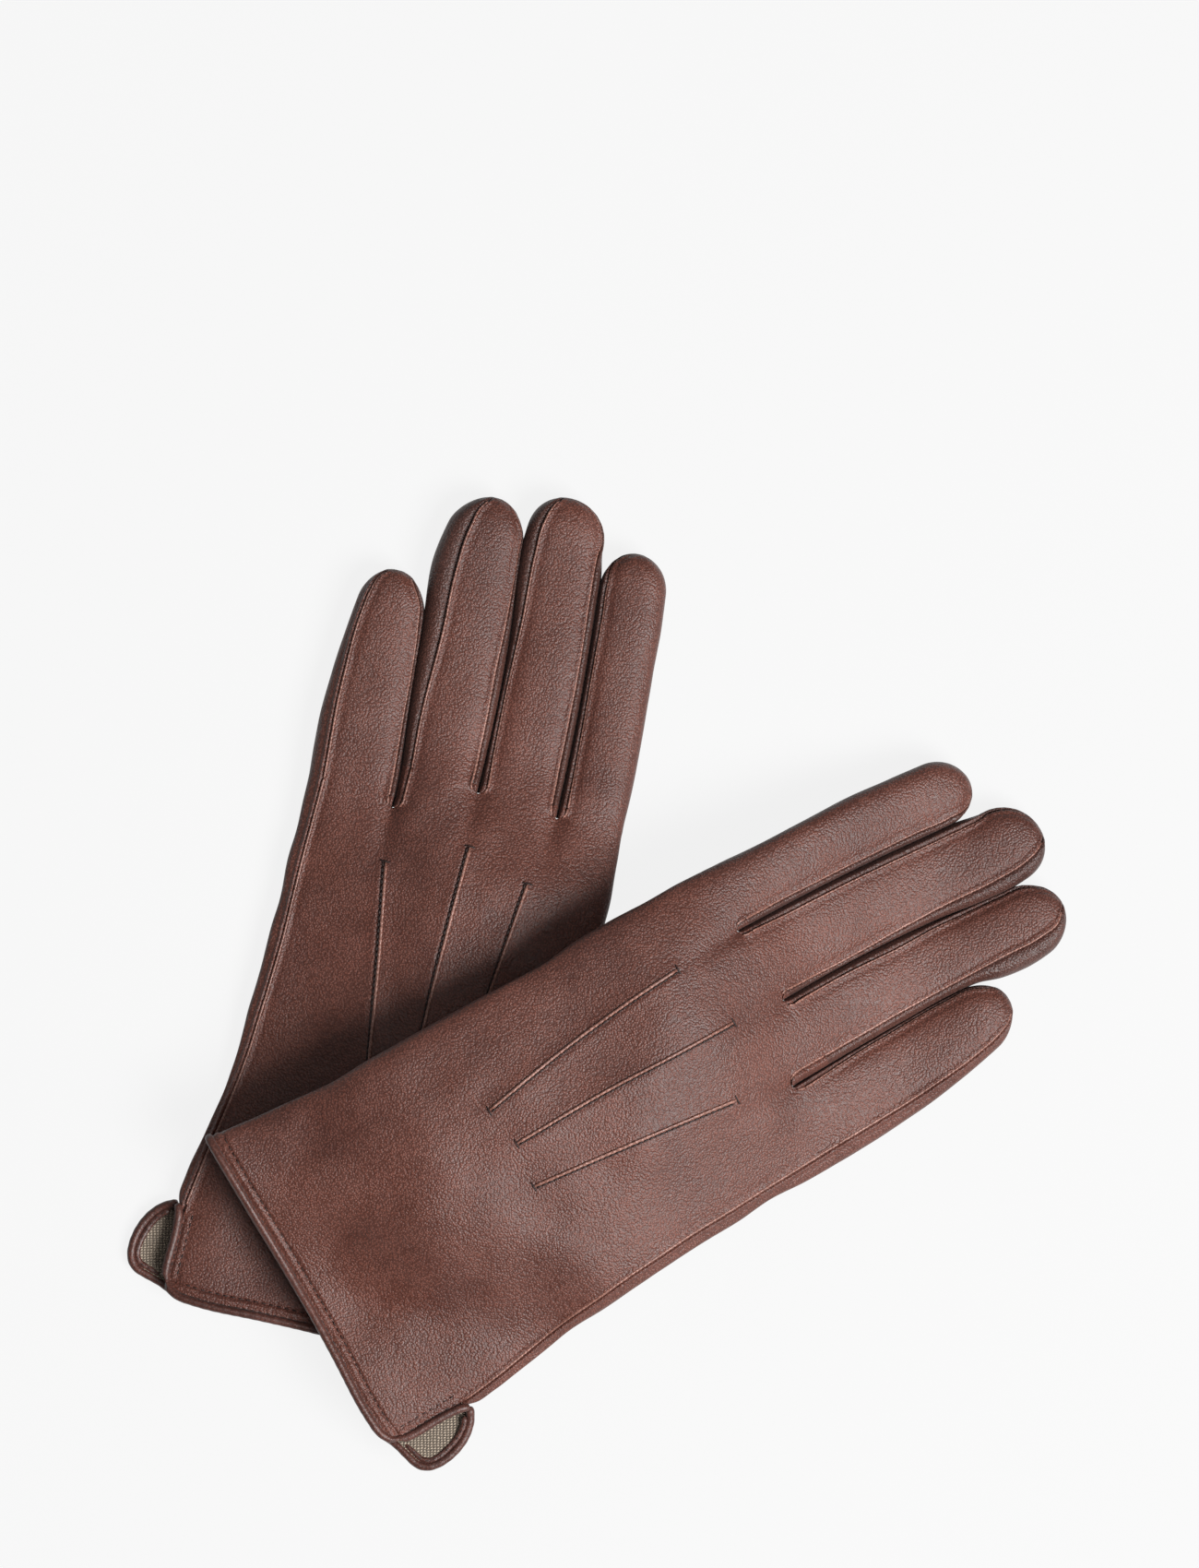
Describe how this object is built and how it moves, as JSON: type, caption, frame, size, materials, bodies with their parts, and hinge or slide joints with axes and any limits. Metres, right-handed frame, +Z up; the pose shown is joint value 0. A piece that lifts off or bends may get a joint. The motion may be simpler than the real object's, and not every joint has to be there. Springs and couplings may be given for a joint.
{
  "type": "pair of touchscreen gloves",
  "caption": "Pair of short chocolate-brown leather touchscreen gloves with three stitched points, side vents and knit lining, one lying across the other.",
  "frame": {"origin": "middle of the pair's footprint, on the surface it lies on", "axes": "+Z up from the surface, through the backs of the hands; +Y towards the left glove's fingertips, as the pair lies; +X to the side that the right glove's fingers lie on"},
  "size_m": [0.2656, 0.2724, 0.0445],
  "materials": {
    "glove_leather": "satin",
    "trim_leather": "satin",
    "knit_lining": "matte",
    "conductive_leather": "satin"
  },
  "bodies": {
    "left_hand": {"left_trank": "glove_leather", "left_hand_lining": "knit_lining", "left_point_index": "trim_leather", "left_point_middle": "trim_leather", "left_point_little": "trim_leather", "left_cuff_binding": "trim_leather", "left_vent_binding_back": "trim_leather", "left_vent_binding_palm": "trim_leather"},
    "left_index": {"left_index_wrap": "glove_leather", "left_index_touch_pad": "conductive_leather", "left_index_fourchette": "glove_leather", "left_index_lining": "knit_lining"},
    "left_middle": {"left_middle_back": "glove_leather", "left_middle_palm": "glove_leather", "left_middle_fourchette_index_side": "glove_leather", "left_middle_fourchette_little_side": "glove_leather", "left_middle_lining": "knit_lining"},
    "left_ring": {"left_ring_back": "glove_leather", "left_ring_palm": "glove_leather", "left_ring_fourchette_index_side": "glove_leather", "left_ring_fourchette_little_side": "glove_leather", "left_ring_lining": "knit_lining"},
    "left_little": {"left_little_back": "glove_leather", "left_little_palm": "glove_leather", "left_little_fourchette": "glove_leather", "left_little_lining": "knit_lining"},
    "left_thumb": {"left_thumb_piece": "glove_leather", "left_thumb_touch_pad": "conductive_leather", "left_thumb_lining": "knit_lining"},
    "right_hand": {"right_trank": "glove_leather", "right_hand_lining": "knit_lining", "right_point_index": "trim_leather", "right_point_middle": "trim_leather", "right_point_little": "trim_leather", "right_cuff_binding": "trim_leather", "right_vent_binding_back": "trim_leather", "right_vent_binding_palm": "trim_leather"},
    "right_index": {"right_index_wrap": "glove_leather", "right_index_touch_pad": "conductive_leather", "right_index_fourchette": "glove_leather", "right_index_lining": "knit_lining"},
    "right_middle": {"right_middle_back": "glove_leather", "right_middle_palm": "glove_leather", "right_middle_fourchette_index_side": "glove_leather", "right_middle_fourchette_little_side": "glove_leather", "right_middle_lining": "knit_lining"},
    "right_ring": {"right_ring_back": "glove_leather", "right_ring_palm": "glove_leather", "right_ring_fourchette_index_side": "glove_leather", "right_ring_fourchette_little_side": "glove_leather", "right_ring_lining": "knit_lining"},
    "right_little": {"right_little_back": "glove_leather", "right_little_palm": "glove_leather", "right_little_fourchette": "glove_leather", "right_little_lining": "knit_lining"},
    "right_thumb": {"right_thumb_piece": "glove_leather", "right_thumb_touch_pad": "conductive_leather", "right_thumb_lining": "knit_lining"}
  },
  "joints": [
    {"name": "left_index_bend", "type": "hinge", "parent": "left_hand", "child": "left_index", "pos_m": [-0.00004, 0.04311, -0.0008], "axis": [-0.9681, 0.2504, 0], "range_deg": [0, 75]},
    {"name": "left_middle_bend", "type": "hinge", "parent": "left_hand", "child": "left_middle", "pos_m": [-0.02066, 0.04845, -0.0008], "axis": [-0.9681, 0.2504, 0], "range_deg": [0, 75]},
    {"name": "left_ring_bend", "type": "hinge", "parent": "left_hand", "child": "left_ring", "pos_m": [-0.04268, 0.05414, -0.0008], "axis": [-0.9681, 0.2504, 0], "range_deg": [0, 75]},
    {"name": "left_little_bend", "type": "hinge", "parent": "left_hand", "child": "left_little", "pos_m": [-0.06827, 0.05146, -0.0008], "axis": [-0.9681, 0.2504, 0], "range_deg": [0, 75]},
    {"name": "left_thumb_swing", "type": "hinge", "parent": "left_hand", "child": "left_thumb", "pos_m": [-0.03078, -0.03983, 0], "axis": [0, 0, -1], "range_deg": [0, 50]},
    {"name": "right_index_bend", "type": "hinge", "parent": "right_hand", "child": "right_index", "pos_m": [0.0381, 0.02475, 0.01867], "axis": [-0.503, 0.8643, 0], "range_deg": [0, 75]},
    {"name": "right_middle_bend", "type": "hinge", "parent": "right_hand", "child": "right_middle", "pos_m": [0.04881, 0.00634, 0.01205], "axis": [-0.503, 0.8643, 0], "range_deg": [0, 75]},
    {"name": "right_ring_bend", "type": "hinge", "parent": "right_hand", "child": "right_ring", "pos_m": [0.06025, -0.01332, 0.00509], "axis": [-0.503, 0.8643, 0], "range_deg": [0, 75]},
    {"name": "right_little_bend", "type": "hinge", "parent": "right_hand", "child": "right_little", "pos_m": [0.0646, -0.03868, 0.00109], "axis": [-0.503, 0.8643, 0], "range_deg": [0, 75]},
    {"name": "right_thumb_swing", "type": "hinge", "parent": "right_hand", "child": "right_thumb", "pos_m": [-0.03343, -0.02729, 0.0228], "axis": [0, 0, 1], "range_deg": [0, 50]},
    {"name": "right_glove_lift", "type": "slide", "parent": "left_hand", "child": "right_hand", "axis": [0, 0, 1], "range_m": [0, 0.15]}
  ]
}
